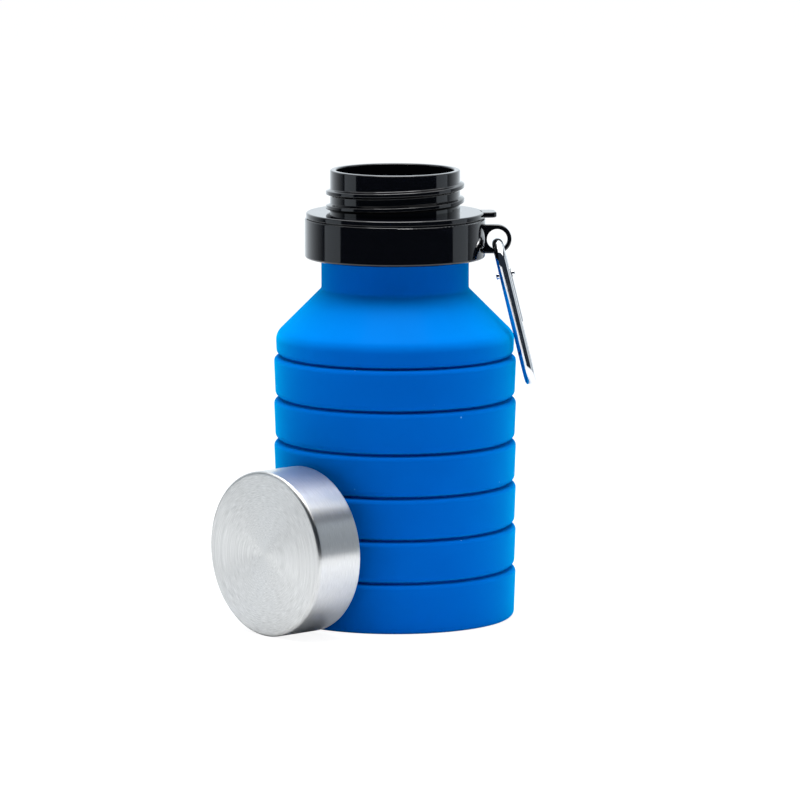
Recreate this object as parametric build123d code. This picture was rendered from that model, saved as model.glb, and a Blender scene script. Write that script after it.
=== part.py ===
"""Folding water bottle with a screw cap and a carabiner.

The body is one silicone moulding: a base, five bands that fold down on each other and a shoulder.
A plastic spout is clamped in its neck by a collar, a carabiner hangs from the collar's loop, and the
steel screw cap stands on its edge beside the bottle. Each band is modelled as a stiff upper ring and
a thin lower wall, because the thin wall is what folds.

Origin: centre of the base, on the surface that the bottle stands on. +Z is up the bottle's axis,
+X points to the carrying loop. Sizes are in millimetres and angles in degrees.
"""
from build123d import *
import os
from math import atan2, cos, degrees, hypot, radians, sin

os.makedirs("parts", exist_ok=True)

# Silicone body
BAND_COUNT = 5
BASE_HEIGHT = 16.9
BAND_PITCH = 14.19
BAND_TOP_RADIUS = 40.4
BAND_FOOT_RADIUS = 39.8
BODY_BORE_RADIUS = 36.4
GROOVE_RADIUS = 37.8
GROOVE_WIDTH = 0.5
BAND_TOP_ROUNDING = 1.6
BAND_FOOT_ROUNDING = 1.9
RING_HEIGHT = 4.25
FOLD_BORE_RADIUS = 37.9
FLOOR_THICKNESS = 4.0
FOOT_INNER_RADIUS = 31.0
FOOT_RECESS = 1.2

# Shoulder and neck
SHOULDER_FOOT_RADIUS = 39.4
SHOULDER_RADIUS = 39.7
SHOULDER_CORNER_Z = 94.9
SHOULDER_ROUNDING = 5.0
SHOULDER_WALL = 2.4
NECK_RADIUS = 24.5
NECK_BORE_RADIUS = 22.0
BEAD_RADIUS = 27.5
BEAD_FOOT_Z = 129.2

# Collar and its loop
COLLAR_RADIUS = 30.0
COLLAR_FOOT_Z = 120.4
COLLAR_TOP_Z = 133.4
COLLAR_CLEARANCE = 0.1
LOOP_X = 33.85
LOOP_Z = 126.5
LOOP_RADIUS = 4.8
LOOP_HOLE_RADIUS = 3.4
LOOP_THICKNESS = 3.0

# Spout
FLANGE_RADIUS = 29.6
FLANGE_FOOT_Z = 133.65
FLANGE_TOP_Z = 135.45
SPOUT_TOP_Z = 149.6
SPOUT_RADIUS = 21.6
SPOUT_BORE_RADIUS = 19.6
SLEEVE_RADIUS = 21.95
SLEEVE_FOOT_Z = 118.5
BARB_RADIUS = 22.3
BARB_COUNT = 3
TAB_REACH = 33.5
TAB_WIDTH = 9.0
TAB_TURN = 5.0

# Screw thread
THREAD_PITCH = 4.8
THREAD_CREST_RADIUS = 23.0
THREAD_ROOT_WIDTH = 2.5
THREAD_CREST_WIDTH = 1.1
THREAD_START_ANGLE = 30.0
THREAD_START_Z = 135.2
THREAD_TURNS = 2.0

# Screw cap, standing on its edge with its open side towards the bottle
CAP_RADIUS = 27.3
CAP_HEIGHT = 18.0
CAP_EDGE_ROUNDING = 1.5
CAP_SHEET = 0.8
CAP_TURN = 47.5
CAP_RIM_DISTANCE = 42.1
CAP_SIDE_OFFSET = -2.1
LINER_BORE_RADIUS = 23.3
LINER_CREST_RADIUS = 21.95
LINER_TOP_THICKNESS = 1.6
GASKET_INNER_RADIUS = 18.6
GASKET_THICKNESS = 1.2

# Carabiner, in its own frame: origin at the centre of the top run, Z along the spine, X across
WIRE_RADIUS = 1.9
CARABINER_LENGTH = 51.0
SPINE_Y = -9.0
GATE_TOP_Y = 9.0
GATE_FOOT_Y = 12.8
TOP_BEND_RADIUS = 7.0
FOOT_BEND_RADIUS = 6.0
CARABINER_TILT = 13.6
HANG_X = 33.95
HANG_Z = 125.3
GATE_RADIUS = 2.25
GATE_END_RADIUS = 2.4
PIVOT_DROP = 12.4
NOSE_DROP = 29.5
TONGUE_THICKNESS = 1.8
TONGUE_RADIUS = 1.75
SLOT_CLEARANCE = 0.15
RIVET_RADIUS = 0.8
RIVET_CLEARANCE = 0.05
RIVET_HEAD_RADIUS = 1.1
RIVET_LENGTH = 6.4
NOSE_TONGUE_LENGTH = 4.0
NOSE_TONGUE_WIDTH = 2.6
NOSE_TONGUE_THICKNESS = 1.4
WIRE_INSET = 0.5
LATCH_PIN_RADIUS = 0.5
LATCH_NOTCH_WIDTH = 1.3
SPRING_WIRE_RADIUS = 0.2
SPRING_RADIUS = 0.85
SPRING_TURNS = 5
PLUNGER_LENGTH = 2.0
GATE_BORE_RADIUS = 1.25
GATE_BORE_LENGTH = 9.0

BODY_TOP_Z = BASE_HEIGHT + BAND_COUNT * BAND_PITCH


def turned(points, corners=()):
    """Solid turned about Z from (radius, height) points, after rounding the corners listed."""
    outline = Polygon(*points, align=None)
    for radius, height, rounding in corners:
        nearest = outline.vertices().sort_by_distance((radius, height, 0))[0]
        outline = fillet(nearest, rounding)
    return revolve(Plane.XZ * outline, Axis.Z)


def save(shape, node):
    """Write one sub-part under its node name."""
    export_step(shape, f"parts/{node}.step")


# ---------------------------------------------------------------- silicone body

def base():
    """Cup at the foot of the bottle, with a ring to stand on and a shallow recess inside it."""
    lip_z = BASE_HEIGHT - GROOVE_WIDTH / 2
    points = [
        (0, FOOT_RECESS),
        (FOOT_INNER_RADIUS, FOOT_RECESS),
        (FOOT_INNER_RADIUS + FOOT_RECESS, 0),
        (BAND_FOOT_RADIUS, 0),
        (BAND_TOP_RADIUS, lip_z),
        (GROOVE_RADIUS, lip_z),
        (GROOVE_RADIUS, BASE_HEIGHT),
        (BODY_BORE_RADIUS, BASE_HEIGHT),
        (BODY_BORE_RADIUS, FLOOR_THICKNESS),
        (0, FLOOR_THICKNESS),
    ]
    corners = [
        (BAND_FOOT_RADIUS, 0, BAND_FOOT_ROUNDING),
        (BAND_TOP_RADIUS, lip_z, BAND_TOP_ROUNDING),
        (BODY_BORE_RADIUS, FLOOR_THICKNESS, 3.0),
    ]
    return turned(points, corners)


def band_radius(height_in_band):
    """Outer radius of a band at a height above its lower groove: bands widen upwards."""
    return BAND_FOOT_RADIUS + (BAND_TOP_RADIUS - BAND_FOOT_RADIUS) * height_in_band / BAND_PITCH


def fold(foot_z):
    """Thin lower wall of a band, which folds inwards when the band is pressed down."""
    split = BAND_PITCH - RING_HEIGHT
    lip_z = foot_z + GROOVE_WIDTH / 2
    step = FOLD_BORE_RADIUS - BODY_BORE_RADIUS
    points = [
        (BODY_BORE_RADIUS, foot_z),
        (GROOVE_RADIUS, foot_z),
        (GROOVE_RADIUS, lip_z),
        (BAND_FOOT_RADIUS, lip_z),
        (band_radius(split), foot_z + split),
        (FOLD_BORE_RADIUS, foot_z + split),
        (FOLD_BORE_RADIUS, foot_z + 2 * step),
        (BODY_BORE_RADIUS, foot_z + step),
    ]
    return turned(points, [(BAND_FOOT_RADIUS, lip_z, BAND_FOOT_ROUNDING)])


def ring(foot_z):
    """Thick upper ring of a band, which stays stiff and carries the fold below it."""
    split_z = foot_z + BAND_PITCH - RING_HEIGHT
    top_z = foot_z + BAND_PITCH
    lip_z = top_z - GROOVE_WIDTH / 2
    step = FOLD_BORE_RADIUS - BODY_BORE_RADIUS
    points = [
        (FOLD_BORE_RADIUS, split_z),
        (band_radius(BAND_PITCH - RING_HEIGHT), split_z),
        (BAND_TOP_RADIUS, lip_z),
        (GROOVE_RADIUS, lip_z),
        (GROOVE_RADIUS, top_z),
        (BODY_BORE_RADIUS, top_z),
        (BODY_BORE_RADIUS, split_z + step),
    ]
    return turned(points, [(BAND_TOP_RADIUS, lip_z, BAND_TOP_ROUNDING)])


def shoulder():
    """Shoulder cone and neck, ending in the bead that the collar clamps under the spout's flange."""
    lip_z = BODY_TOP_Z + GROOVE_WIDTH / 2
    cone_height = SHOULDER_RADIUS - NECK_RADIUS
    inset = SHOULDER_WALL * (2 ** 0.5 - 1)
    bore_corner_z = SHOULDER_CORNER_Z + (SHOULDER_RADIUS - BODY_BORE_RADIUS) - SHOULDER_WALL * 2 ** 0.5
    neck_bore_z = bore_corner_z + BODY_BORE_RADIUS - NECK_BORE_RADIUS
    points = [
        (BODY_BORE_RADIUS, BODY_TOP_Z),
        (GROOVE_RADIUS, BODY_TOP_Z),
        (GROOVE_RADIUS, lip_z),
        (SHOULDER_FOOT_RADIUS, lip_z),
        (SHOULDER_RADIUS, SHOULDER_CORNER_Z),
        (NECK_RADIUS, SHOULDER_CORNER_Z + cone_height),
        (NECK_RADIUS, BEAD_FOOT_Z),
        (BEAD_RADIUS, BEAD_FOOT_Z),
        (BEAD_RADIUS, FLANGE_FOOT_Z),
        (NECK_BORE_RADIUS, FLANGE_FOOT_Z),
        (NECK_BORE_RADIUS, neck_bore_z),
        (BODY_BORE_RADIUS, bore_corner_z),
    ]
    corners = [
        (SHOULDER_FOOT_RADIUS, lip_z, 1.5),
        (SHOULDER_RADIUS, SHOULDER_CORNER_Z, SHOULDER_ROUNDING),
        (NECK_RADIUS, SHOULDER_CORNER_Z + cone_height, 1.5),
        (BEAD_RADIUS, BEAD_FOOT_Z, 0.6),
        (NECK_BORE_RADIUS, neck_bore_z, 1.5),
        (BODY_BORE_RADIUS, bore_corner_z, 4.0),
    ]
    return turned(points, corners)


# ---------------------------------------------------------------- collar and spout

def collar():
    """Clamp ring round the neck bead, with a flat loop for the carabiner."""
    neck_bore = NECK_RADIUS + COLLAR_CLEARANCE
    bead_bore = BEAD_RADIUS + COLLAR_CLEARANCE
    points = [
        (neck_bore, COLLAR_FOOT_Z),
        (COLLAR_RADIUS, COLLAR_FOOT_Z),
        (COLLAR_RADIUS, COLLAR_TOP_Z),
        (bead_bore, COLLAR_TOP_Z),
        (bead_bore, BEAD_FOOT_Z),
        (neck_bore, BEAD_FOOT_Z),
    ]
    corners = [
        (COLLAR_RADIUS, COLLAR_FOOT_Z, 0.8),
        (COLLAR_RADIUS, COLLAR_TOP_Z, 0.4),
        (neck_bore, COLLAR_FOOT_Z, 0.4),
    ]
    clamp = turned(points, corners)
    root_x = COLLAR_RADIUS - 1.2
    plate = Pos((root_x + LOOP_X) / 2, 0, LOOP_Z) * Box(LOOP_X - root_x, LOOP_THICKNESS, 2 * LOOP_RADIUS)
    eye = Pos(LOOP_X, 0, LOOP_Z) * Rot(90, 0, 0) * Cylinder(LOOP_RADIUS, LOOP_THICKNESS)
    loop = plate + eye
    faces = loop.faces().filter_by(Axis.Y)
    rims = [edge for face in faces for edge in face.edges() if edge.center().X > root_x + 0.5]
    loop = fillet(rims, 0.5)
    hole = Pos(LOOP_X, 0, LOOP_Z) * Rot(90, 0, 0) * Cylinder(LOOP_HOLE_RADIUS, 2 * LOOP_THICKNESS)
    return clamp + (loop - hole)


def thread_ridge(root_radius, crest_radius, turns):
    """Right-hand helical ridge that starts on +X at height zero; the crest may face out or in."""
    path = Helix(THREAD_PITCH, THREAD_PITCH * turns, root_radius)
    half_root = THREAD_ROOT_WIDTH / 2
    half_crest = THREAD_CREST_WIDTH / 2
    section = Plane.XZ * Polygon(
        (root_radius, -half_root),
        (crest_radius, -half_crest),
        (crest_radius, half_crest),
        (root_radius, half_root),
        align=None,
    )
    return sweep(section, path, is_frenet=True)


def spout():
    """Threaded mouth, flange with a lift tab, and the barbed sleeve that plugs the silicone neck."""
    points = [
        (SPOUT_BORE_RADIUS, SLEEVE_FOOT_Z),
        (SLEEVE_RADIUS, SLEEVE_FOOT_Z),
        (SLEEVE_RADIUS, FLANGE_FOOT_Z),
        (FLANGE_RADIUS, FLANGE_FOOT_Z),
        (FLANGE_RADIUS, FLANGE_TOP_Z),
        (SPOUT_RADIUS, FLANGE_TOP_Z),
        (SPOUT_RADIUS, SPOUT_TOP_Z),
        (SPOUT_BORE_RADIUS, SPOUT_TOP_Z),
    ]
    corners = [
        (SLEEVE_RADIUS, SLEEVE_FOOT_Z, 0.6),
        (FLANGE_RADIUS, FLANGE_FOOT_Z, 0.3),
        (FLANGE_RADIUS, FLANGE_TOP_Z, 0.4),
        (SPOUT_RADIUS, SPOUT_TOP_Z, 0.8),
        (SPOUT_BORE_RADIUS, SPOUT_TOP_Z, 0.7),
    ]
    body = turned(points, corners)
    barb_step = (FLANGE_FOOT_Z - SLEEVE_FOOT_Z) / (BARB_COUNT + 1)
    for i in range(BARB_COUNT):
        foot_z = SLEEVE_FOOT_Z + (i + 0.7) * barb_step
        body += turned([
            (SLEEVE_RADIUS - 0.4, foot_z),
            (SLEEVE_RADIUS, foot_z),
            (BARB_RADIUS, foot_z + 1.6),
            (SLEEVE_RADIUS - 0.4, foot_z + 1.6),
        ])
    tab_length = TAB_REACH - FLANGE_RADIUS + 3.0
    tab = Pos(TAB_REACH - tab_length / 2, 0, (FLANGE_FOOT_Z + FLANGE_TOP_Z) / 2) * Box(
        tab_length, TAB_WIDTH, FLANGE_TOP_Z - FLANGE_FOOT_Z
    )
    tab = fillet(tab.edges().filter_by(Axis.Z).group_by(Axis.X)[-1], 2.0)
    tab = fillet(tab.faces().sort_by(Axis.Z)[-1].edges().filter_by_position(Axis.X, 30, 40), 0.4)
    body += Rot(0, 0, TAB_TURN) * tab
    ridge = thread_ridge(SPOUT_RADIUS - 0.3, THREAD_CREST_RADIUS, THREAD_TURNS)
    body += Pos(0, 0, THREAD_START_Z) * Rot(0, 0, THREAD_START_ANGLE) * ridge
    return body


# ---------------------------------------------------------------- screw cap

def cap_place(shape):
    """Move a cap piece from its own frame, open rim at z = 0 and crown up, to where the cap stands."""
    out_x = -sin(radians(CAP_TURN))
    out_y = -cos(radians(CAP_TURN))
    rim_x = CAP_RIM_DISTANCE * out_x + CAP_SIDE_OFFSET * out_y
    rim_y = CAP_RIM_DISTANCE * out_y - CAP_SIDE_OFFSET * out_x
    frame = Plane(origin=(rim_x, rim_y, CAP_RADIUS), x_dir=(0, 0, 1), z_dir=(out_x, out_y, 0))
    return frame.location * shape


def cap_shell():
    """Drawn steel cup of the cap."""
    points = [
        (0, CAP_HEIGHT),
        (CAP_RADIUS, CAP_HEIGHT),
        (CAP_RADIUS, 0),
        (CAP_RADIUS - CAP_SHEET, 0),
        (CAP_RADIUS - CAP_SHEET, CAP_HEIGHT - CAP_SHEET),
        (0, CAP_HEIGHT - CAP_SHEET),
    ]
    corners = [
        (CAP_RADIUS, CAP_HEIGHT, CAP_EDGE_ROUNDING),
        (CAP_RADIUS - CAP_SHEET, CAP_HEIGHT - CAP_SHEET, CAP_EDGE_ROUNDING - CAP_SHEET),
        (CAP_RADIUS, 0, 0.25),
    ]
    return turned(points, corners)


def cap_liner():
    """Threaded plastic insert pressed into the steel cup, its rim just inside the cup's."""
    outer = CAP_RADIUS - CAP_SHEET - 0.05
    top_z = CAP_HEIGHT - CAP_SHEET - 0.05
    ceiling_z = top_z - LINER_TOP_THICKNESS
    points = [
        (0, top_z),
        (outer, top_z),
        (outer, 0.6),
        (LINER_BORE_RADIUS, 0.6),
        (LINER_BORE_RADIUS, ceiling_z),
        (0, ceiling_z),
    ]
    corners = [
        (outer, top_z, 1.0),
        (outer, 0.6, 0.5),
        (LINER_BORE_RADIUS, 0.6, 0.8),
    ]
    body = turned(points, corners)
    ridge = thread_ridge(LINER_BORE_RADIUS + 0.3, LINER_CREST_RADIUS, 1.5)
    return body + Pos(0, 0, 3.2) * ridge


def cap_gasket():
    """Soft ring at the bottom of the cap, which seals on the spout's rim."""
    top_z = CAP_HEIGHT - CAP_SHEET - 0.05 - LINER_TOP_THICKNESS
    points = [
        (GASKET_INNER_RADIUS, top_z),
        (LINER_BORE_RADIUS - 0.1, top_z),
        (LINER_BORE_RADIUS - 0.1, top_z - GASKET_THICKNESS),
        (GASKET_INNER_RADIUS, top_z - GASKET_THICKNESS),
    ]
    corners = [(GASKET_INNER_RADIUS, top_z - GASKET_THICKNESS, 0.4)]
    return turned(points, corners)


# ---------------------------------------------------------------- carabiner

FOOT_RUN_Z = 2 * WIRE_RADIUS - CARABINER_LENGTH
GATE_LEAN = degrees(atan2(GATE_FOOT_Y - GATE_TOP_Y, -FOOT_RUN_Z))


def gate_line(drop):
    """Point on the line through the gate, at a height below the top run."""
    share = drop / -FOOT_RUN_Z
    return (0, GATE_TOP_Y + (GATE_FOOT_Y - GATE_TOP_Y) * share, -drop)


def carabiner_place(shape):
    """Hang a carabiner piece in the collar's loop, leaning out over the shoulder."""
    return Pos(HANG_X, 0, HANG_Z) * Rot(0, -CARABINER_TILT, 0) * shape


def gate_place(shape):
    """Put a gate piece, with its pivot at the origin and +Z towards the nose, on the gate line."""
    return Pos(*gate_line(PIVOT_DROP)) * Rot(180 + GATE_LEAN, 0, 0) * shape


# Heights along the gate, from its pivot towards the nose
GATE_REACH = hypot(
    gate_line(NOSE_DROP)[1] - gate_line(PIVOT_DROP)[1],
    NOSE_DROP - PIVOT_DROP,
)
LATCH_Z = GATE_REACH - NOSE_TONGUE_LENGTH / 2
PIVOT_SLOT_Z = TONGUE_RADIUS + 0.35
PLUNGER_Z = TONGUE_RADIUS + 0.45


def carabiner_frame():
    """Bent wire with a pierced tongue for the gate's rivet and a notched nose for its latch pin."""
    wire_gap = GATE_END_RADIUS + SLOT_CLEARANCE
    path = FilletPolyline(
        gate_line(PIVOT_DROP - wire_gap),
        gate_line(0),
        (0, SPINE_Y, 0),
        (0, SPINE_Y, FOOT_RUN_Z),
        gate_line(-FOOT_RUN_Z),
        gate_line(NOSE_DROP),
        radius=[TOP_BEND_RADIUS, TOP_BEND_RADIUS, FOOT_BEND_RADIUS, FOOT_BEND_RADIUS],
    )
    start = Plane(origin=path @ 0, z_dir=path % 0)
    wire = sweep(start * Circle(WIRE_RADIUS), path)
    neck_length = wire_gap + WIRE_INSET
    tongue = Rot(0, 90, 0) * Cylinder(TONGUE_RADIUS, TONGUE_THICKNESS)
    tongue += Pos(0, 0, -neck_length / 2) * Box(TONGUE_THICKNESS, 2 * TONGUE_RADIUS, neck_length)
    tongue -= Rot(0, 90, 0) * Cylinder(RIVET_RADIUS + RIVET_CLEARANCE, 2 * TONGUE_THICKNESS)
    nose_length = NOSE_TONGUE_LENGTH + WIRE_INSET
    nose = Box(NOSE_TONGUE_THICKNESS, NOSE_TONGUE_WIDTH, nose_length)
    nose = Pos(0, 0, GATE_REACH + WIRE_INSET - nose_length / 2) * nose
    notch = Pos(0, NOSE_TONGUE_WIDTH / 2, 0) * Box(WIRE_RADIUS, NOSE_TONGUE_WIDTH, LATCH_NOTCH_WIDTH)
    notch += Rot(0, 90, 0) * Cylinder(LATCH_NOTCH_WIDTH / 2, WIRE_RADIUS)
    nose -= Pos(0, 0, LATCH_Z) * notch
    return carabiner_place(wire + gate_place(tongue) + gate_place(nose))


def carabiner_gate():
    """Round bar, slotted at the pivot and at the nose, with a blind bore for the spring."""
    through = 4 * GATE_RADIUS
    tip_z = GATE_REACH - 2 * SLOT_CLEARANCE
    bar = Pos(0, 0, tip_z / 2) * Cylinder(GATE_RADIUS, tip_z)
    bar = fillet(bar.edges().filter_by(GeomType.CIRCLE).sort_by(Axis.Z)[-1], 0.4)
    pivot_end = Rot(0, 90, 0) * Cylinder(GATE_END_RADIUS, through)
    bar += Pos(0, 0, -GATE_END_RADIUS / 2) * Cylinder(GATE_RADIUS, GATE_END_RADIUS) & pivot_end
    pivot_slot = TONGUE_THICKNESS + 2 * SLOT_CLEARANCE
    bar -= Pos(0, 0, PIVOT_SLOT_Z - through / 2) * Box(pivot_slot, through, through)
    nose_slot = NOSE_TONGUE_THICKNESS + 2 * SLOT_CLEARANCE
    nose_slot_z = GATE_REACH - NOSE_TONGUE_LENGTH - 3 * SLOT_CLEARANCE
    bar -= Pos(0, 0, nose_slot_z + through / 2) * Box(nose_slot, through, through)
    bar -= Rot(0, 90, 0) * Cylinder(RIVET_RADIUS, through)
    bar -= Pos(0, 0, LATCH_Z) * Rot(0, 90, 0) * Cylinder(LATCH_PIN_RADIUS, through)
    bar -= Pos(0, 0, PIVOT_SLOT_Z + GATE_BORE_LENGTH / 2) * Cylinder(GATE_BORE_RADIUS, GATE_BORE_LENGTH)
    return carabiner_place(gate_place(bar))


def gate_rivet():
    """Hinge rivet through the gate's cheeks and the frame's tongue."""
    pin = Cylinder(RIVET_RADIUS, RIVET_LENGTH)
    head_height = RIVET_LENGTH / 2 - GATE_RADIUS
    for side in (-1, 1):
        head = Cylinder(RIVET_HEAD_RADIUS, head_height)
        head = fillet(head.edges().filter_by(GeomType.CIRCLE).sort_by(Axis.Z)[-1], 0.35)
        turn = Rot(0, 0, 0) if side > 0 else Rot(180, 0, 0)
        pin += Pos(0, 0, side * (GATE_RADIUS + head_height / 2)) * turn * head
    return carabiner_place(gate_place(Rot(0, 90, 0) * pin))


def latch_pin():
    """Cross pin near the gate's tip, which drops into the nose's notch."""
    pin = Rot(0, 90, 0) * Cylinder(LATCH_PIN_RADIUS, 2 * GATE_RADIUS - 0.4)
    return carabiner_place(gate_place(Pos(0, 0, LATCH_Z) * pin))


def gate_plunger():
    """Small domed plunger that the spring presses on the frame's tongue."""
    pin = Cylinder(GATE_BORE_RADIUS - 0.1, PLUNGER_LENGTH)
    pin = fillet(pin.edges().filter_by(GeomType.CIRCLE).sort_by(Axis.Z)[0], 0.6)
    return carabiner_place(gate_place(Pos(0, 0, PLUNGER_Z + PLUNGER_LENGTH / 2) * pin))


def gate_spring():
    """Coil spring between the plunger and the end of the gate's bore."""
    foot_z = PLUNGER_Z + PLUNGER_LENGTH + SPRING_WIRE_RADIUS + 0.02
    top_z = PIVOT_SLOT_Z + GATE_BORE_LENGTH - SPRING_WIRE_RADIUS - 0.02
    path = Helix((top_z - foot_z) / SPRING_TURNS, top_z - foot_z, SPRING_RADIUS)
    section = Plane(origin=path @ 0, z_dir=path % 0) * Circle(SPRING_WIRE_RADIUS)
    coil = sweep(section, path, is_frenet=True)
    return carabiner_place(gate_place(Pos(0, 0, foot_z) * coil))


# ---------------------------------------------------------------- write the parts

save(base(), "base")
for number in range(BAND_COUNT):
    band_foot_z = BASE_HEIGHT + number * BAND_PITCH
    save(fold(band_foot_z), f"fold_{number + 1}")
    save(ring(band_foot_z), f"band_{number + 1}")
save(shoulder(), "shoulder")
save(collar(), "collar")
save(spout(), "spout")
save(cap_place(cap_shell()), "cap_shell")
save(cap_place(cap_liner()), "cap_liner")
save(cap_place(cap_gasket()), "cap_gasket")
save(carabiner_frame(), "carabiner_frame")
save(carabiner_gate(), "carabiner_gate")
save(gate_rivet(), "gate_rivet")
save(latch_pin(), "latch_pin")
save(gate_plunger(), "gate_plunger")
save(gate_spring(), "gate_spring")
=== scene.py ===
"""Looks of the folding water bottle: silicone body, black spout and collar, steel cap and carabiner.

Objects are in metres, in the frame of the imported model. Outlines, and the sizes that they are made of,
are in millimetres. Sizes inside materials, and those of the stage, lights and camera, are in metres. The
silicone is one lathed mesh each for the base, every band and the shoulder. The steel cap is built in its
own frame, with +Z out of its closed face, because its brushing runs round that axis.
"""
import math

import bpy
from mathutils import Matrix, Vector


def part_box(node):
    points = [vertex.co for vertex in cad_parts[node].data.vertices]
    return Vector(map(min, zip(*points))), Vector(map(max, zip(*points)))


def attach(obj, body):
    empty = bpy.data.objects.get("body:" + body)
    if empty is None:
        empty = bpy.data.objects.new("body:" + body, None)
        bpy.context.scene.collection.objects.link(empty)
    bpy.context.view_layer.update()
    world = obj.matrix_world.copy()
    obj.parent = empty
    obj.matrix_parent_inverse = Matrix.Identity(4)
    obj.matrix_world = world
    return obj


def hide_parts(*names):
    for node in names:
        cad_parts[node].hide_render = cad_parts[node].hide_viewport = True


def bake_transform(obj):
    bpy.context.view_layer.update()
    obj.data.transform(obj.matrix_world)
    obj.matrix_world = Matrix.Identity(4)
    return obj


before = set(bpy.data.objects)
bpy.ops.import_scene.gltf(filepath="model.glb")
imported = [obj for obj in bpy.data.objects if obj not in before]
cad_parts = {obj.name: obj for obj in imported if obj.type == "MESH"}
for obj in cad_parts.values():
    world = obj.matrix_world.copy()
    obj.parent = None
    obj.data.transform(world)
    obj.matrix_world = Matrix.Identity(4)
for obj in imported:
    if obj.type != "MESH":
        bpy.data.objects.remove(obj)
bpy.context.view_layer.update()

MM = 0.001
LATHE_STEPS = 288
ARC_STEPS = 8
SHARP_ANGLE = math.radians(40)
CREASE_ANGLE = math.radians(75)


# ---------------------------------------------------------------- mesh helpers

def corner_arc(before, corner, after, radius):
    """Points of the arc that rounds a corner of an outline."""
    to_before = (before - corner).normalized()
    to_after = (after - corner).normalized()
    half = to_before.angle(to_after) / 2
    reach = radius / math.tan(half)
    centre = corner + (to_before + to_after).normalized() * (radius / math.sin(half))
    first = corner + to_before * reach - centre
    turn = first.angle_signed(corner + to_after * reach - centre)
    points = []
    for i in range(ARC_STEPS + 1):
        angle = -turn * i / ARC_STEPS
        spin = Matrix.Rotation(angle, 2)
        points.append(centre + spin @ first)
    return points


def outline(corners, longest_run, closed=True):
    """Outline from (radius, height, rounding) corners in millimetres; long runs are divided evenly."""
    spots = [Vector((r, z)) for r, z, _ in corners]
    rough = []
    count = len(spots)
    for i, (_, _, rounding) in enumerate(corners):
        inner = closed or 0 < i < count - 1
        if rounding > 0 and inner:
            rough += corner_arc(spots[i - 1], spots[i], spots[(i + 1) % count], rounding)
        else:
            rough.append(spots[i])
    points = []
    last = len(rough) if closed else len(rough) - 1
    for i in range(last):
        start = rough[i]
        end = rough[(i + 1) % len(rough)]
        pieces = max(1, math.ceil((end - start).length / longest_run))
        points += [start.lerp(end, k / pieces) for k in range(pieces)]
    if not closed:
        points.append(rough[-1])
    return [(p.x, p.y) for p in points]


def finish_mesh(name, vertices, faces, sharp_angle=SHARP_ANGLE):
    """Smooth-shaded mesh object with creases only where its faces really turn."""
    mesh = bpy.data.meshes.new(name)
    mesh.from_pydata(vertices, [], faces)
    mesh.validate()
    mesh.shade_smooth()
    mesh.set_sharp_from_angle(angle=sharp_angle)
    piece = bpy.data.objects.new(name, mesh)
    bpy.context.scene.collection.objects.link(piece)
    weighted = piece.modifiers.new("weighted normals", "WEIGHTED_NORMAL")
    weighted.keep_sharp = True
    return piece


def lathe(name, points, steps=LATHE_STEPS, ridge=None, sharp_angle=SHARP_ANGLE):
    """Surface of revolution about Z. Points on the axis close it; ridge(angle, r, z) adds to the radius."""
    closed = points[0][0] > 0 or points[-1][0] > 0
    vertices = []
    rows = []
    for r, z in points:
        if r == 0:
            rows.append([len(vertices)] * steps)
            vertices.append((0, 0, z * MM))
            continue
        rows.append(list(range(len(vertices), len(vertices) + steps)))
        for k in range(steps):
            angle = 2 * math.pi * k / steps
            reach = (r + (ridge(angle, r, z) if ridge else 0)) * MM
            vertices.append((reach * math.cos(angle), reach * math.sin(angle), z * MM))
    faces = []
    pairs = list(zip(rows, rows[1:] + rows[:1])) if closed else list(zip(rows, rows[1:]))
    for low, high in pairs:
        for k in range(steps):
            n = (k + 1) % steps
            face = []
            for v in (low[k], low[n], high[n], high[k]):
                if v not in face:
                    face.append(v)
            if len(face) > 2:
                faces.append(face)
    return finish_mesh(name, vertices, faces, sharp_angle)


def smooth_step(x):
    """Smooth rise from 0 to 1 as x goes from 0 to 1."""
    x = min(1.0, max(0.0, x))
    return x * x * (3 - 2 * x)


THREAD_PITCH = 4.8
THREAD_HALF_ROOT = 1.3
THREAD_HALF_CREST = 0.45
THREAD_RUN_OUT = math.radians(28)
BESIDE_WALL = 0.1


def thread_ridge(start_angle, start_z, turns, height, z_range, wall_radius):
    """Ridge function of a right-hand thread on a wall: millimetres out at an angle, radius and height.

    The thread rises and dies away over THREAD_RUN_OUT at its two ends. A negative height cuts inwards.
    """

    def ridge(angle, r, z):
        beside = wall_radius - BESIDE_WALL < r < wall_radius + BESIDE_WALL
        if not beside or not z_range[0] <= z <= z_range[1]:
            return 0.0
        best = 0.0
        for turn in range(-1, math.ceil(turns) + 1):
            along = angle - start_angle + 2 * math.pi * turn
            share = min(along, 2 * math.pi * turns - along) / THREAD_RUN_OUT
            if share <= 0:
                continue
            offset = abs(z - start_z - THREAD_PITCH * along / (2 * math.pi))
            flank = smooth_step((THREAD_HALF_ROOT - offset) / (THREAD_HALF_ROOT - THREAD_HALF_CREST))
            best = max(best, flank * smooth_step(share))
        return height * best

    return ridge


# ---------------------------------------------------------------- materials

def new_material(name, **sockets):
    """Material with one Principled shader, and its node tree to build on. Sockets are set by name."""
    material = bpy.data.materials.new(name)
    material.use_nodes = True
    nodes = material.node_tree.nodes
    shader = nodes["Principled BSDF"]
    for socket, value in sockets.items():
        shader.inputs[socket.replace("_", " ")].default_value = value
    return material, nodes, material.node_tree.links, shader


def object_point(nodes):
    """Texture position in the piece's own frame, in metres."""
    return nodes.new("ShaderNodeTexCoord").outputs["Object"]


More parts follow.
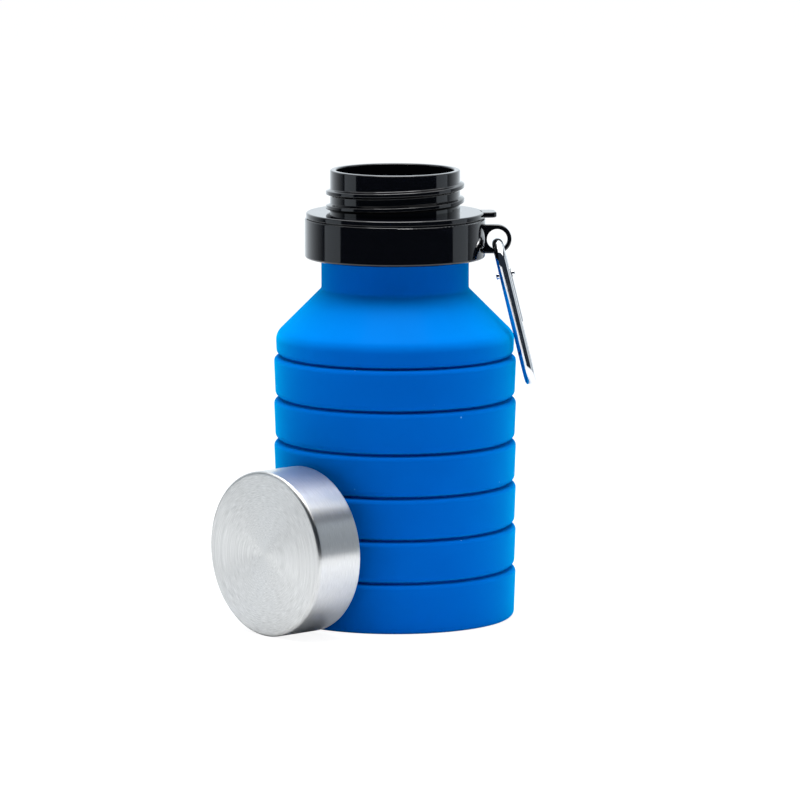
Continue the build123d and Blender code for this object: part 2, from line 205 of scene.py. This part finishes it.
def noise(nodes, links, vector, scale, detail=2.0, roughness=0.5):
    """Noise texture at a scale in features per metre."""
    texture = nodes.new("ShaderNodeTexNoise")
    texture.inputs["Scale"].default_value = scale
    texture.inputs["Detail"].default_value = detail
    texture.inputs["Roughness"].default_value = roughness
    links.new(vector, texture.inputs["Vector"])
    return texture.outputs["Fac"]


def remap(nodes, links, value, low, high, to_low, to_high):
    """Value mapped from one range to another, clamped."""
    node = nodes.new("ShaderNodeMapRange")
    links.new(value, node.inputs["Value"])
    node.inputs["From Min"].default_value = low
    node.inputs["From Max"].default_value = high
    node.inputs["To Min"].default_value = to_low
    node.inputs["To Max"].default_value = to_high
    return node.outputs["Result"]


def mix_colour(nodes, links, factor, colour_a, colour_b):
    """Colour between two, by a factor; either colour may be a tuple or a socket."""
    node = nodes.new("ShaderNodeMix")
    node.data_type = "RGBA"
    links.new(factor, node.inputs["Factor"])
    for socket, colour in ((node.inputs[6], colour_a), (node.inputs[7], colour_b)):
        if isinstance(colour, tuple):
            socket.default_value = (*colour, 1)
        else:
            links.new(colour, socket)
    return node.outputs[2]


def add_bump(nodes, links, shader, height, distance, strength=1.0):
    """Bump from a height socket; distance is in metres."""
    bump = nodes.new("ShaderNodeBump")
    bump.inputs["Distance"].default_value = distance
    bump.inputs["Strength"].default_value = strength
    links.new(height, bump.inputs["Height"])
    links.new(bump.outputs["Normal"], shader.inputs["Normal"])


def multiply(nodes, links, value_a, value_b):
    """Product of two value sockets."""
    node = nodes.new("ShaderNodeMath")
    node.operation = "MULTIPLY"
    links.new(value_a, node.inputs[0])
    links.new(value_b, node.inputs[1])
    return node.outputs["Value"]


BAND_TONES = ((0.0, 0.108, 0.55), (0.0, 0.127, 0.61))
# Painted light: lighter tones for the shoulder cone than for the bands, so that it looks more lit.
CONE_PAINTED_LIGHT_TONES = ((0.0, 0.162, 0.64), (0.0, 0.184, 0.71))
CONE_PAINTED_LIGHT_STARTS = (0.093, 0.0975)
CONE_PAINTED_LIGHT_ENDS = (0.1085, 0.111)
DUST_TONE = (0.25, 0.6, 0.95)
SPECK_CELLS = 230
SPECK_EDGE = (0.05, 0.085)
SPECK_CHOICE = (0.955, 0.965)
SPECK_STRENGTH = 0.55


def silicone_material():
    """Matte blue silicone: fine moulded grain, faint mottling, specks of dust and painted light on the
    cone.

    The shoulder cone is painted lighter than the bands, to look more lit. This painted light fades in and
    out between two pairs of heights, CONE_PAINTED_LIGHT_STARTS and CONE_PAINTED_LIGHT_ENDS.
    """
    material, nodes, links, shader = new_material(
        "blue silicone", Specular_IOR_Level=0.0, Sheen_Weight=0.6, Sheen_Roughness=0.5,
        Sheen_Tint=(0.0, 0.72, 1.0, 1), Coat_Weight=0.006, Coat_Roughness=0.2,
    )
    point = object_point(nodes)
    mottle = noise(nodes, links, point, 60, detail=3)
    split = nodes.new("ShaderNodeSeparateXYZ")
    links.new(point, split.inputs["Vector"])
    # Painted light: between these heights the shoulder cone takes the lighter cone tones, to look more lit.
    rising = remap(nodes, links, split.outputs["Z"], *CONE_PAINTED_LIGHT_STARTS, 0, 1)
    falling = remap(nodes, links, split.outputs["Z"], *CONE_PAINTED_LIGHT_ENDS, 1, 0)
    cone = multiply(nodes, links, rising, falling)
    band_tone = mix_colour(nodes, links, mottle, *BAND_TONES)
    cone_painted_light_tone = mix_colour(nodes, links, mottle, *CONE_PAINTED_LIGHT_TONES)
    tone = mix_colour(nodes, links, cone, band_tone, cone_painted_light_tone)
    specks = nodes.new("ShaderNodeTexVoronoi")
    specks.inputs["Scale"].default_value = SPECK_CELLS
    links.new(point, specks.inputs["Vector"])
    near = remap(nodes, links, specks.outputs["Distance"], *SPECK_EDGE, 1, 0)
    pick = nodes.new("ShaderNodeSeparateColor")
    links.new(specks.outputs["Color"], pick.inputs["Color"])
    chosen = remap(nodes, links, pick.outputs["Red"], *SPECK_CHOICE, 0, SPECK_STRENGTH)
    dust = multiply(nodes, links, near, chosen)
    links.new(mix_colour(nodes, links, dust, tone, DUST_TONE), shader.inputs["Base Color"])
    rough = noise(nodes, links, point, 25, detail=2)
    links.new(remap(nodes, links, rough, 0.3, 0.7, 0.36, 0.44), shader.inputs["Roughness"])
    grain = noise(nodes, links, point, 5200, detail=2)
    add_bump(nodes, links, shader, grain, 0.00002, 0.3)
    return material


def black_plastic_material():
    """Polished black moulding with a little haze and almost no waviness."""
    material, nodes, links, shader = new_material(
        "black gloss plastic", Base_Color=(0.0016, 0.0017, 0.0028, 1), Specular_IOR_Level=0.5, IOR=1.5,
    )
    point = object_point(nodes)
    haze = noise(nodes, links, point, 140, detail=3)
    links.new(remap(nodes, links, haze, 0.35, 0.75, 0.045, 0.10), shader.inputs["Roughness"])
    waves = noise(nodes, links, point, 45, detail=1)
    add_bump(nodes, links, shader, waves, 0.00006, 0.25)
    return material


def satin_plastic_material():
    """Satin black moulding of the cap's liner."""
    material, nodes, links, shader = new_material(
        "satin black plastic", Base_Color=(0.012, 0.012, 0.014, 1),
    )
    point = object_point(nodes)
    grain = noise(nodes, links, point, 2500, detail=2)
    add_bump(nodes, links, shader, grain, 0.00002, 0.4)
    haze = noise(nodes, links, point, 90, detail=2)
    links.new(remap(nodes, links, haze, 0.3, 0.7, 0.3, 0.42), shader.inputs["Roughness"])
    return material


def gasket_material():
    """Milky soft silicone of the sealing ring."""
    material, nodes, links, shader = new_material("milky silicone", Roughness=0.45)
    point = object_point(nodes)
    cloud = noise(nodes, links, point, 200, detail=2)
    milk = mix_colour(nodes, links, cloud, (0.68, 0.68, 0.66), (0.78, 0.78, 0.76))
    links.new(milk, shader.inputs["Base Color"])
    return material


SIDE_TONES = ((0.54, 0.535, 0.525), (0.69, 0.685, 0.675))
FACE_TONES = ((0.39, 0.388, 0.379), (0.635, 0.632, 0.62))
FACE_STARTS = (0.0168, 0.0178)
STROKE_SPREAD = 0.0016


def brushed_steel_material():
    """Stainless steel brushed round the cap's own axis, on its face and on its side.

    The strokes are noise over the radius and the height, which makes rings. The points of one ring lie
    on a small circle in the noise, of radius STROKE_SPREAD, so that the ring breaks into long strokes.
    The face's tone fades in between the two heights of FACE_STARTS.
    """
    material, nodes, links, shader = new_material(
        "brushed steel", Metallic=1.0, Anisotropic=0.75, Anisotropic_Rotation=0.25,
    )
    tangent = nodes.new("ShaderNodeTangent")
    tangent.direction_type = "RADIAL"
    tangent.axis = "Z"
    links.new(tangent.outputs["Tangent"], shader.inputs["Tangent"])
    split = nodes.new("ShaderNodeSeparateXYZ")
    links.new(object_point(nodes), split.inputs["Vector"])
    flat = nodes.new("ShaderNodeCombineXYZ")
    links.new(split.outputs["X"], flat.inputs["X"])
    links.new(split.outputs["Y"], flat.inputs["Y"])
    radius = nodes.new("ShaderNodeVectorMath")
    radius.operation = "LENGTH"
    links.new(flat.outputs["Vector"], radius.inputs[0])
    direction = nodes.new("ShaderNodeVectorMath")
    direction.operation = "NORMALIZE"
    links.new(flat.outputs["Vector"], direction.inputs[0])
    arc = nodes.new("ShaderNodeVectorMath")
    arc.operation = "SCALE"
    arc.inputs["Scale"].default_value = STROKE_SPREAD
    links.new(direction.outputs["Vector"], arc.inputs[0])
    rings = nodes.new("ShaderNodeCombineXYZ")
    links.new(radius.outputs["Value"], rings.inputs["X"])
    links.new(split.outputs["Z"], rings.inputs["Y"])
    lines = nodes.new("ShaderNodeVectorMath")
    lines.operation = "ADD"
    links.new(rings.outputs["Vector"], lines.inputs[0])
    links.new(arc.outputs["Vector"], lines.inputs[1])
    fine = noise(nodes, links, lines.outputs["Vector"], 5200, detail=3, roughness=0.7)
    strokes = remap(nodes, links, fine, 0.3, 0.7, 0, 1)
    broad = noise(nodes, links, lines.outputs["Vector"], 2200, detail=2)
    links.new(remap(nodes, links, broad, 0.3, 0.7, 0.28, 0.33), shader.inputs["Roughness"])
    side_tone = mix_colour(nodes, links, strokes, *SIDE_TONES)
    face_tone = mix_colour(nodes, links, strokes, *FACE_TONES)
    face = remap(nodes, links, split.outputs["Z"], *FACE_STARTS, 0, 1)
    links.new(mix_colour(nodes, links, face, side_tone, face_tone), shader.inputs["Base Color"])
    add_bump(nodes, links, shader, fine, 0.00001, 0.7)
    return material


def chrome_material():
    """Polished plated steel with fine handling marks."""
    material, nodes, links, shader = new_material(
        "polished steel", Base_Color=(0.70, 0.70, 0.71, 1), Metallic=1.0,
    )
    point = object_point(nodes)
    haze = noise(nodes, links, point, 350, detail=3)
    links.new(remap(nodes, links, haze, 0.35, 0.75, 0.06, 0.17), shader.inputs["Roughness"])
    marks = noise(nodes, links, point, 2600, detail=1)
    add_bump(nodes, links, shader, marks, 0.000008, 0.2)
    return material


def spring_material():
    """Drawn spring wire."""
    material, nodes, links, shader = new_material(
        "spring wire", Base_Color=(0.45, 0.45, 0.46, 1), Metallic=1.0,
    )
    point = object_point(nodes)
    drawn = noise(nodes, links, point, 1500, detail=2)
    links.new(remap(nodes, links, drawn, 0.3, 0.7, 0.18, 0.34), shader.inputs["Roughness"])
    return material


def dress(piece, material):
    """Give a piece one material."""
    piece.data.materials.clear()
    piece.data.materials.append(material)


SILICONE = silicone_material()
BLACK_PLASTIC = black_plastic_material()
SATIN_PLASTIC = satin_plastic_material()
GASKET = gasket_material()
BRUSHED_STEEL = brushed_steel_material()
CHROME = chrome_material()
SPRING_WIRE = spring_material()


# ---------------------------------------------------------------- silicone body

BAND_COUNT = 5
BASE_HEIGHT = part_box("base")[1].z / MM
BAND_PITCH = (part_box("shoulder")[0].z / MM - BASE_HEIGHT) / BAND_COUNT
TOP_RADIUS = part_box("band_1")[1].x / MM
FOOT_RADIUS = 39.8
BASE_FOOT_RADIUS = 39.7
BASE_LIP_ROUNDING = 0.5
BORE_RADIUS = 36.4
THIN_BORE_RADIUS = 37.9
BORE_EDGE = 0.6
THICK_RING = (2.75, 4.25)
THIN_WALL = (1.5, 3.0)
FOOT_RECESS = 1.2
RECESS_RADIUS = 31.0
FOOT_RING_RADIUS = 32.2
FOOT_RING_ROUNDING = 0.8
FLOOR_TOP = 4.0
FLOOR_ROUNDING = 3.0
SHOULDER_FOOT = (39.4, 1.5)
SHOULDER_CORNER = (39.7, 94.9, 5.0)
NECK_FOOT = (24.5, 110.1, 1.6)
NECK_TOP = (24.5, 129.2, 0.3)
BEAD_EDGE = (27.5, 129.2, 0.6)
NECK_BORE_RADIUS = 22.0
NECK_BORE_FOOT = (NECK_BORE_RADIUS, 109.2, 1.5)
CONE_BORE_FOOT = (BORE_RADIUS, 94.8, 4.0)
GROOVE_RADIUS = 37.8
GROOVE_HALF = 0.4
TOP_ROUNDING = 1.6
FOOT_ROUNDING = 1.95
LONGEST_RUN = 0.9


def silicone_piece(name, corners, closed, nodes):
    """One lathed stretch of the silicone body, standing for CAD nodes."""
    piece = lathe(name, outline(corners, LONGEST_RUN, closed))
    dress(piece, SILICONE)
    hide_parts(*nodes)
    return piece


def make_base():
    """Base cup with its foot ring."""
    lip = BASE_HEIGHT - GROOVE_HALF
    corners = [
        (0, FOOT_RECESS, 0), (RECESS_RADIUS, FOOT_RECESS, FOOT_RING_ROUNDING),
        (FOOT_RING_RADIUS, 0, FOOT_RING_ROUNDING), (BASE_FOOT_RADIUS, 0, FOOT_ROUNDING),
        (TOP_RADIUS, lip, TOP_ROUNDING), (GROOVE_RADIUS, lip, 0), (GROOVE_RADIUS, BASE_HEIGHT, 0),
        (BORE_RADIUS, BASE_HEIGHT, BASE_LIP_ROUNDING), (BORE_RADIUS, FLOOR_TOP, FLOOR_ROUNDING),
        (0, FLOOR_TOP, 0),
    ]
    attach(silicone_piece("silicone_base", corners, False, ["base"]), "base")


def make_band(number):
    """One band: thick ring above, thin folding wall below.

    The bore widens between the two depths of THICK_RING, from the band's top, and narrows again between
    the two heights of THIN_WALL, from its foot.
    """
    foot = BASE_HEIGHT + (number - 1) * BAND_PITCH
    top = foot + BAND_PITCH
    corners = [
        (BORE_RADIUS, foot, 0), (GROOVE_RADIUS, foot, 0), (GROOVE_RADIUS, foot + GROOVE_HALF, 0),
        (FOOT_RADIUS, foot + GROOVE_HALF, FOOT_ROUNDING), (TOP_RADIUS, top - GROOVE_HALF, TOP_ROUNDING),
        (GROOVE_RADIUS, top - GROOVE_HALF, 0), (GROOVE_RADIUS, top, 0), (BORE_RADIUS, top, 0),
        (BORE_RADIUS, top - THICK_RING[0], BORE_EDGE), (THIN_BORE_RADIUS, top - THICK_RING[1], BORE_EDGE),
        (THIN_BORE_RADIUS, foot + THIN_WALL[1], BORE_EDGE), (BORE_RADIUS, foot + THIN_WALL[0], BORE_EDGE),
    ]
    nodes = [f"fold_{number}", f"band_{number}"]
    piece = silicone_piece(f"silicone_band_{number}", corners, True, nodes)
    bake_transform(piece)


def make_shoulder():
    """Shoulder cone and neck, up to the bead inside the collar.

    Its named corners are (radius, height, rounding). SHOULDER_FOOT is (radius, rounding), because its
    height follows from the bands.
    """
    foot = BASE_HEIGHT + BAND_COUNT * BAND_PITCH
    bead_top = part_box("shoulder")[1].z / MM
    corners = [
        (BORE_RADIUS, foot, 0), (GROOVE_RADIUS, foot, 0), (GROOVE_RADIUS, foot + GROOVE_HALF, 0),
        (SHOULDER_FOOT[0], foot + GROOVE_HALF, SHOULDER_FOOT[1]), SHOULDER_CORNER, NECK_FOOT, NECK_TOP,
        BEAD_EDGE, (BEAD_EDGE[0], bead_top, 0), (NECK_BORE_RADIUS, bead_top, 0), NECK_BORE_FOOT,
        CONE_BORE_FOOT,
    ]
    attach(silicone_piece("silicone_shoulder", corners, True, ["shoulder"]), "top")


make_base()
for band_number in range(1, BAND_COUNT + 1):
    make_band(band_number)
make_shoulder()


# ---------------------------------------------------------------- spout

SPOUT_RADIUS = 21.6
SPOUT_BORE_RADIUS = 19.6
SPOUT_RIM_ROUNDING = 0.5
SLEEVE_RADIUS = 21.95
SLEEVE_FOOT_ROUNDING = 0.5
SKIRT_INNER_RADIUS = 27.8
SKIRT_OUTER_RADIUS = 29.0
SKIRT_FOOT = 133.45
FLANGE_RADIUS = 29.6
FLANGE_FOOT = 133.65
FLANGE_TOP = 135.45
FLANGE_FOOT_ROUNDING = 0.3
FLANGE_TOP_ROUNDING = 0.6
COARSE_END_RADIUS = 22.6
TUBE_FOOT_RADIUS = 22.2
TUBE_FOOT = 135.5
FINE_RIM_DEPTH = 1.5
MOUTH_RUN = 1.2
THREAD_RUN = 0.13
MOUTH_STEPS = 384
SPOUT_THREAD_START = (math.radians(30), 135.2)
SPOUT_THREAD_TURNS = 2.03
SPOUT_THREAD_HEIGHT = 1.4
SPOUT_THREAD_RANGE = (135.5, 147.0)
TAB_ROOT = 28.0
TAB_HALF_WIDTH = 4.5
TAB_CORNER_ROUNDING = 2.0
TAB_EDGE_ROUNDING = 0.4
TAB_TURN = math.radians(5)


def make_spout():
    """Mouth with its thread, flange and sleeve; the lift tab is a piece of its own.

    A low skirt under the flange hides the neck's bead in the gap above the collar. The rows are close
    together only on the threaded wall and round the rim.
    """
    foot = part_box("spout")[0].z / MM
    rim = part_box("spout")[1].z / MM
    below = outline([
        (SPOUT_BORE_RADIUS, foot, 0), (SLEEVE_RADIUS, foot, SLEEVE_FOOT_ROUNDING),
        (SLEEVE_RADIUS, FLANGE_FOOT, 0), (SKIRT_INNER_RADIUS, FLANGE_FOOT, 0),
        (SKIRT_INNER_RADIUS, SKIRT_FOOT, 0), (SKIRT_OUTER_RADIUS, SKIRT_FOOT, 0),
        (SKIRT_OUTER_RADIUS, FLANGE_FOOT, 0), (FLANGE_RADIUS, FLANGE_FOOT, FLANGE_FOOT_ROUNDING),
        (FLANGE_RADIUS, FLANGE_TOP, FLANGE_TOP_ROUNDING), (COARSE_END_RADIUS, FLANGE_TOP, 0),
    ], MOUTH_RUN, closed=False)
    tube = outline([
        (TUBE_FOOT_RADIUS, FLANGE_TOP, 0), (SPOUT_RADIUS, TUBE_FOOT, 0),
        (SPOUT_RADIUS, rim, SPOUT_RIM_ROUNDING), (SPOUT_BORE_RADIUS, rim, SPOUT_RIM_ROUNDING),
        (SPOUT_BORE_RADIUS, rim - FINE_RIM_DEPTH, 0),
    ], THREAD_RUN, closed=False)
    ridge = thread_ridge(
        *SPOUT_THREAD_START, SPOUT_THREAD_TURNS, SPOUT_THREAD_HEIGHT, SPOUT_THREAD_RANGE, SPOUT_RADIUS,
    )
    piece = lathe("mouth", below + tube, steps=MOUTH_STEPS, ridge=ridge, sharp_angle=CREASE_ANGLE)
    dress(piece, BLACK_PLASTIC)
    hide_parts("spout")
    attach(piece, "top")


def make_lift_tab():
    """Flat tab that the flange carries over the loop, with rounded corners and edges."""
    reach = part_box("spout")[1].x / MM
    plan = [
        Vector((TAB_ROOT, -TAB_HALF_WIDTH)), Vector((reach, -TAB_HALF_WIDTH)),
        Vector((reach, TAB_HALF_WIDTH)), Vector((TAB_ROOT, TAB_HALF_WIDTH)),
    ]
    rough = [plan[0]] + corner_arc(plan[0], plan[1], plan[2], TAB_CORNER_ROUNDING)
    rough += corner_arc(plan[1], plan[2], plan[3], TAB_CORNER_ROUNDING) + [plan[3]]
    count = len(rough)
    vertices = [(p.x * MM, p.y * MM, z * MM) for z in (FLANGE_FOOT, FLANGE_TOP) for p in rough]
    faces = [list(range(count))[::-1], list(range(count, 2 * count))]
    faces += [(k, (k + 1) % count, count + (k + 1) % count, count + k) for k in range(count)]
    piece = finish_mesh("lift_tab", vertices, faces)
    piece.rotation_euler.z = TAB_TURN
    bevel = piece.modifiers.new("edges", "BEVEL")
    bevel.width = TAB_EDGE_ROUNDING * MM
    bevel.segments = 4
    bevel.limit_method = "ANGLE"
    piece.modifiers.move(1, 0)  # the bevel comes before the weighted normals
    dress(piece, BLACK_PLASTIC)
    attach(piece, "top")


make_spout()
make_lift_tab()


# ---------------------------------------------------------------- screw cap

CAP_TURN = math.radians(47.5)
CAP_RIM_DISTANCE = 42.1
CAP_SIDE_OFFSET = -2.1
CAP_RADIUS = 27.3
CAP_HEIGHT = 18.0
CAP_INNER_RADIUS = 26.5
CAP_INNER_HEIGHT = 17.2
CAP_EDGE_ROUNDING = 1.2
CAP_RIM_ROUNDING = 0.45
CAP_INNER_RIM_ROUNDING = 0.25
CAP_INNER_EDGE_ROUNDING = 0.6
CAP_RUN = 1.0
LINER_RADIUS = 26.45
LINER_TOP = 17.15
LINER_TOP_ROUNDING = 1.0
LINER_RIM = 0.6
LINER_RIM_ROUNDING = 0.5
LINER_BORE_RADIUS = 23.3
LINER_MOUTH_ROUNDING = 0.8
LINER_BORE_FOOT = 1.5
LINER_BORE_TOP = 15.55
LINER_RUN = 1.2
CAP_THREAD_START = (0, 3.2)
CAP_THREAD_TURNS = 1.5
CAP_THREAD_HEIGHT = -1.35
CAP_THREAD_RANGE = (0.8, 14.5)


def make_cap():
    """Steel cup and threaded liner, built about their own axis and stood on edge beside the bottle."""
    out = Vector((-math.sin(CAP_TURN), -math.cos(CAP_TURN), 0))
    side = Vector((out.y, -out.x, 0))
    low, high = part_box("cap_shell")
    rim = out * CAP_RIM_DISTANCE * MM + side * CAP_SIDE_OFFSET * MM
    rim.z = (low.z + high.z) / 2
    place = Matrix.Translation(rim) @ Matrix((
        (0, side.x * -1, out.x, 0), (0, side.y * -1, out.y, 0), (1, 0, 0, 0), (0, 0, 0, 1),
    ))
    shell = lathe("steel_cap", outline([
        (0, CAP_HEIGHT, 0), (CAP_RADIUS, CAP_HEIGHT, CAP_EDGE_ROUNDING), (CAP_RADIUS, 0, CAP_RIM_ROUNDING),
        (CAP_INNER_RADIUS, 0, CAP_INNER_RIM_ROUNDING),
        (CAP_INNER_RADIUS, CAP_INNER_HEIGHT, CAP_INNER_EDGE_ROUNDING), (0, CAP_INNER_HEIGHT, 0),
    ], CAP_RUN, closed=False))
    dress(shell, BRUSHED_STEEL)
    ridge = thread_ridge(
        *CAP_THREAD_START, CAP_THREAD_TURNS, CAP_THREAD_HEIGHT, CAP_THREAD_RANGE, LINER_BORE_RADIUS,
    )
    liner_points = outline([
        (0, LINER_TOP, 0), (LINER_RADIUS, LINER_TOP, LINER_TOP_ROUNDING),
        (LINER_RADIUS, LINER_RIM, LINER_RIM_ROUNDING), (LINER_BORE_RADIUS, LINER_RIM, LINER_MOUTH_ROUNDING),
    ], LINER_RUN, closed=False)
    bore_points = outline([
        (LINER_BORE_RADIUS, LINER_BORE_FOOT, 0), (LINER_BORE_RADIUS, LINER_BORE_TOP, 0),
    ], THREAD_RUN, closed=False)
    liner_outline = liner_points[:-1] + bore_points + [(0, LINER_BORE_TOP)]
    liner = lathe("thread_liner", liner_outline, ridge=ridge)
    dress(liner, SATIN_PLASTIC)
    for piece, slot, node in ((shell, "brushed_steel", "cap_shell"), (liner, "liner_plastic", "cap_liner")):
        piece.matrix_world = place
        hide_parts(node)
        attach(piece, "cap")


make_cap()


# ---------------------------------------------------------------- CAD nodes that show as they are

CAD_LOOKS = {
    "collar": BLACK_PLASTIC,
    "cap_gasket": GASKET,
    "carabiner_frame": CHROME,
    "carabiner_gate": CHROME,
    "gate_rivet": CHROME,
    "latch_pin": CHROME,
    "gate_plunger": SPRING_WIRE,
    "gate_spring": SPRING_WIRE,
}
for node, look in CAD_LOOKS.items():
    dress(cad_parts[node], look)


# ---------------------------------------------------------------- stage, light and camera

def softbox(name, place, target, width, height, radiance, tint=(1, 1, 1)):
    """Rectangular light that looks as bright as a white surface of that radiance."""
    light = bpy.data.lights.new(name, "AREA")
    light.shape = "RECTANGLE"
    light.size = width
    light.size_y = height
    light.energy = radiance * math.pi * width * height
    light.color = tint
    lamp = bpy.data.objects.new(name, light)
    lamp.location = place
    lamp.rotation_euler = (Vector(target) - Vector(place)).to_track_quat("-Z", "Y").to_euler()
    lamp.visible_camera = False
    bpy.context.scene.collection.objects.link(lamp)


FRONT_DARK = (0.024, 0.032, 0.046)
BACKDROP_WHITE = (1.22, 1.32, 1.4)
FADE_RANGE = (0.2, 0.9)
TABLE_REACH = 0.5
TABLE_FADE = 0.1
TABLE_WHITE = (0.85, 0.86, 0.87)
FLOOR_HALF = 3.0
FLOOR_GREY = 0.2
FLOOR_GLOW = 0.92


def fade_from_front(nodes, links, vector):
    """Share of white in a level direction: 0 towards -Y and to the sides, rising to 1 straight behind."""
    flat = nodes.new("ShaderNodeVectorMath")
    flat.operation = "MULTIPLY"
    flat.inputs[1].default_value = (1, 1, 0)
    links.new(vector, flat.inputs[0])
    unit = nodes.new("ShaderNodeVectorMath")
    unit.operation = "NORMALIZE"
    links.new(flat.outputs["Vector"], unit.inputs[0])
    split = nodes.new("ShaderNodeSeparateXYZ")
    links.new(unit.outputs["Vector"], split.inputs["Vector"])
    return remap(nodes, links, split.outputs["Y"], *FADE_RANGE, 0, 1)


def make_floor():
    """White floor. The camera sees it lit and glowing, so that it is plain white.

    To reflections and bounced light it is a pale table as far as TABLE_REACH. Beyond that it glows like
    the backdrop: white behind the bottle, and dark towards the sides and the front.
    """
    low, high = -FLOOR_HALF, FLOOR_HALF
    mesh = bpy.data.meshes.new("floor")
    mesh.from_pydata([(low, low, 0), (high, low, 0), (high, high, 0), (low, high, 0)], [], [(0, 1, 2, 3)])
    floor = bpy.data.objects.new("floor", mesh)
    bpy.context.scene.collection.objects.link(floor)
    material, nodes, links, shader = new_material(
        "white floor", Base_Color=(FLOOR_GREY, FLOOR_GREY, FLOOR_GREY, 1), Roughness=0.8,
        Specular_IOR_Level=0, Emission_Color=(1, 1, 1, 1), Emission_Strength=FLOOR_GLOW,
    )
    place = nodes.new("ShaderNodeNewGeometry").outputs["Position"]
    share = fade_from_front(nodes, links, place)
    reach = nodes.new("ShaderNodeVectorMath")
    reach.operation = "LENGTH"
    links.new(place, reach.inputs[0])
    near = remap(nodes, links, reach.outputs["Value"], TABLE_REACH, TABLE_REACH + TABLE_FADE, 1, 0)
    glow = nodes.new("ShaderNodeEmission")
    links.new(mix_colour(nodes, links, share, FRONT_DARK, BACKDROP_WHITE), glow.inputs["Color"])
    table = nodes.new("ShaderNodeBsdfDiffuse")
    table.inputs["Color"].default_value = (*TABLE_WHITE, 1)
    around = nodes.new("ShaderNodeMixShader")
    links.new(near, around.inputs["Fac"])
    links.new(glow.outputs["Emission"], around.inputs[1])
    links.new(table.outputs["BSDF"], around.inputs[2])
    path = nodes.new("ShaderNodeLightPath")
    mix = nodes.new("ShaderNodeMixShader")
    links.new(path.outputs["Is Camera Ray"], mix.inputs["Fac"])
    links.new(around.outputs["Shader"], mix.inputs[1])
    links.new(shader.outputs["BSDF"], mix.inputs[2])
    links.new(mix.outputs["Shader"], nodes["Material Output"].inputs["Surface"])
    dress(floor, material)


def make_world():
    """Backdrop that is white behind the bottle and dark elsewhere. The camera itself sees plain white."""
    world = bpy.data.worlds.new("studio")
    bpy.context.scene.world = world
    world.use_nodes = True
    nodes = world.node_tree.nodes
    links = world.node_tree.links
    background = nodes["Background"]
    direction = nodes.new("ShaderNodeTexCoord").outputs["Generated"]
    share = fade_from_front(nodes, links, direction)
    tone = mix_colour(nodes, links, share, FRONT_DARK, BACKDROP_WHITE)
    path = nodes.new("ShaderNodeLightPath")
    seen = mix_colour(nodes, links, path.outputs["Is Camera Ray"], tone, (1.0, 1.0, 1.0))
    links.new(seen, background.inputs["Color"])


SIDE_REACH = 0.62
SIDE_HEIGHT = 0.22
SIDE_SIZE = (0.30, 0.44)
SIDE_TINT = (0.88, 0.97, 1.05)
SIDE_BOXES = (("left softbox", -86, 0.9), ("right softbox", 91, 0.85))
OVERHEAD_TARGET_Z = 0.1
OVERHEAD_BOXES = (
    ("overhead panel", (0.03, -0.02, 0.8), (1.38, 0.9), 2.0),
    ("overhead key", (0.0, -0.1, 0.78), (0.5, 0.28), 10.0),
)


def make_lights():
    """Soft panels: one at each side, standing on the floor, and two overhead, the key below the panel.

    A side box is given by name, azimuth from the front and radiance; an overhead one by name, place,
    size and radiance.
    """
    for name, azimuth, radiance in SIDE_BOXES:
        a = math.radians(azimuth)
        place = (SIDE_REACH * math.sin(a), -SIDE_REACH * math.cos(a), SIDE_HEIGHT)
        softbox(name, place, (0, 0, SIDE_HEIGHT), *SIDE_SIZE, radiance, SIDE_TINT)
    for name, place, size, radiance in OVERHEAD_BOXES:
        softbox(name, place, (place[0], place[1], OVERHEAD_TARGET_Z), *size, radiance)


SENSOR_WIDTH = 36
FOCAL_LENGTH = 284.7
FAR_CLIP = 20
CAMERA_PLACE = (0.00163, -2.087, 0.365)
CAMERA_DIP = 7.98


def make_camera():
    """Long lens in front of the bottle and above it, looking down by CAMERA_DIP degrees."""
    data = bpy.data.cameras.new("camera")
    data.sensor_width = SENSOR_WIDTH
    data.lens = FOCAL_LENGTH
    data.clip_end = FAR_CLIP
    camera = bpy.data.objects.new("camera", data)
    camera.location = CAMERA_PLACE
    camera.rotation_euler = (math.radians(90 - CAMERA_DIP), 0, 0)
    bpy.context.scene.collection.objects.link(camera)
    bpy.context.scene.camera = camera
    bpy.context.scene.view_settings.view_transform = "Standard"


make_floor()
make_world()
make_lights()
make_camera()
